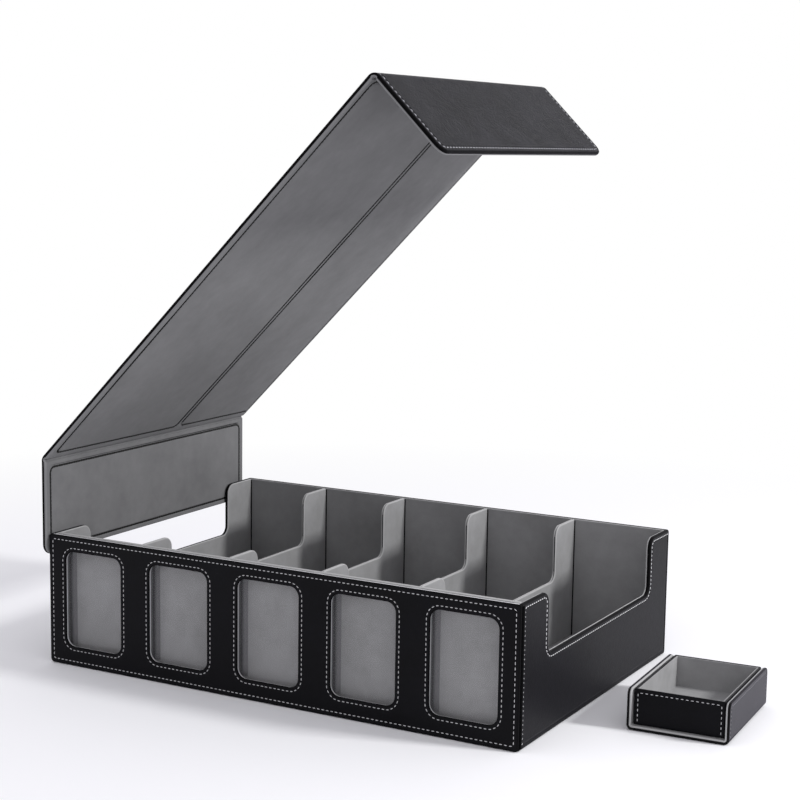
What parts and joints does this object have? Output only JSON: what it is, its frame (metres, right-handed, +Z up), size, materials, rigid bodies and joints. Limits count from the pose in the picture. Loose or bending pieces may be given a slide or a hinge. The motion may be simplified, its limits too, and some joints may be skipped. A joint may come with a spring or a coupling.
{
  "type": "trading card box",
  "caption": "Leather-covered card storage box with scooped bays, clear front windows, a folding wrap lid held by magnets, and a small tray in a U-shaped sleeve.",
  "frame": {"origin": "on the floor, under the middle of the main box", "axes": "+X along the front of the box to its right, +Y to the back, +Z up"},
  "size_m": [0.5659, 0.303, 0.4861],
  "materials": {
    "leather": "fine-grained satin",
    "lining": "matt short nap",
    "board": "matt",
    "film": "clear gloss",
    "magnet": "satin"
  },
  "bodies": {
    "box": {"base_cover": "leather", "base_board": "board", "floor_lining": "lining", "front_cover": "leather", "front_board": "board", "front_lining": "lining", "window_films": "film", "slot_spacers": "board", "inner_front_board": "board", "inner_front_lining": "lining", "back_cover": "leather", "back_board": "board", "back_lining": "lining", "left_wall_cover": "leather", "left_wall_board": "board", "left_wall_lining": "lining", "right_wall_cover": "leather", "right_wall_board": "board", "right_wall_lining": "lining", "wall_magnets": "magnet", "divider_1": "board", "divider_2": "board", "divider_3": "board", "divider_4": "board", "divider_1_lining": "lining", "divider_2_lining": "lining", "divider_3_lining": "lining", "divider_4_lining": "lining"},
    "lid_side": {"lid_side_cover": "leather", "lid_side_board": "board", "lid_side_lining": "lining", "lid_side_magnets": "magnet", "side_fold_leather": "leather", "side_fold_lining": "lining"},
    "lid_top": {"lid_top_cover": "leather", "lid_top_front_board": "board", "lid_top_back_board": "board", "lid_top_lining": "lining", "flap_fold_leather": "leather", "flap_fold_lining": "lining"},
    "lid_flap": {"lid_flap_cover": "leather", "lid_flap_board": "board", "lid_flap_lining": "lining", "lid_flap_magnets": "magnet"},
    "sleeve": {"sleeve_base_cover": "leather", "sleeve_base_board": "board", "sleeve_base_lining": "lining", "sleeve_left_fold": "leather", "sleeve_right_fold": "leather"},
    "sleeve_left": {"sleeve_left_cover": "leather", "sleeve_left_board": "board", "sleeve_left_lining": "lining"},
    "sleeve_right": {"sleeve_right_cover": "leather", "sleeve_right_board": "board", "sleeve_right_lining": "lining"},
    "tray": {"tray_cover": "leather", "tray_base_board": "board", "tray_wall_boards": "board", "tray_lining": "lining"}
  },
  "joints": [
    {"name": "lid_lift", "type": "slide", "parent": "box", "child": "lid_side", "axis": [0, 0, 1], "range_m": [-0.059, 0.025]},
    {"name": "lid_fold", "type": "hinge", "parent": "lid_side", "child": "lid_top", "pos_m": [-0.222, 0, 0.174], "axis": [0, 1, 0], "range_deg": [-144.8, 45.2], "deforming": ["side_fold_leather", "side_fold_lining"]},
    {"name": "flap_fold", "type": "hinge", "parent": "lid_top", "child": "lid_flap", "pos_m": [0.09086, 0, 0.48905], "axis": [0, 1, 0], "range_deg": [-90, 0], "deforming": ["flap_fold_leather", "flap_fold_lining"]},
    {"name": "sleeve_lift", "type": "slide", "parent": "box", "child": "sleeve", "axis": [0, 0, 1], "range_m": [0, 0.12]},
    {"name": "sleeve_left_hinge", "type": "hinge", "parent": "sleeve", "child": "sleeve_left", "pos_m": [0.2645, -0.059, 0], "axis": [-0.0523, 0.9986, 0], "range_deg": [-90, 0], "deforming": ["sleeve_left_fold"]},
    {"name": "sleeve_right_hinge", "type": "hinge", "parent": "sleeve", "child": "sleeve_right", "pos_m": [0.34389, -0.05484, 0], "axis": [-0.0523, 0.9986, 0], "range_deg": [0, 90], "deforming": ["sleeve_right_fold"]},
    {"name": "tray_slide", "type": "slide", "parent": "sleeve", "child": "tray", "axis": [0.0523, -0.9986, 0], "range_m": [-0.105, 0.107]}
  ]
}
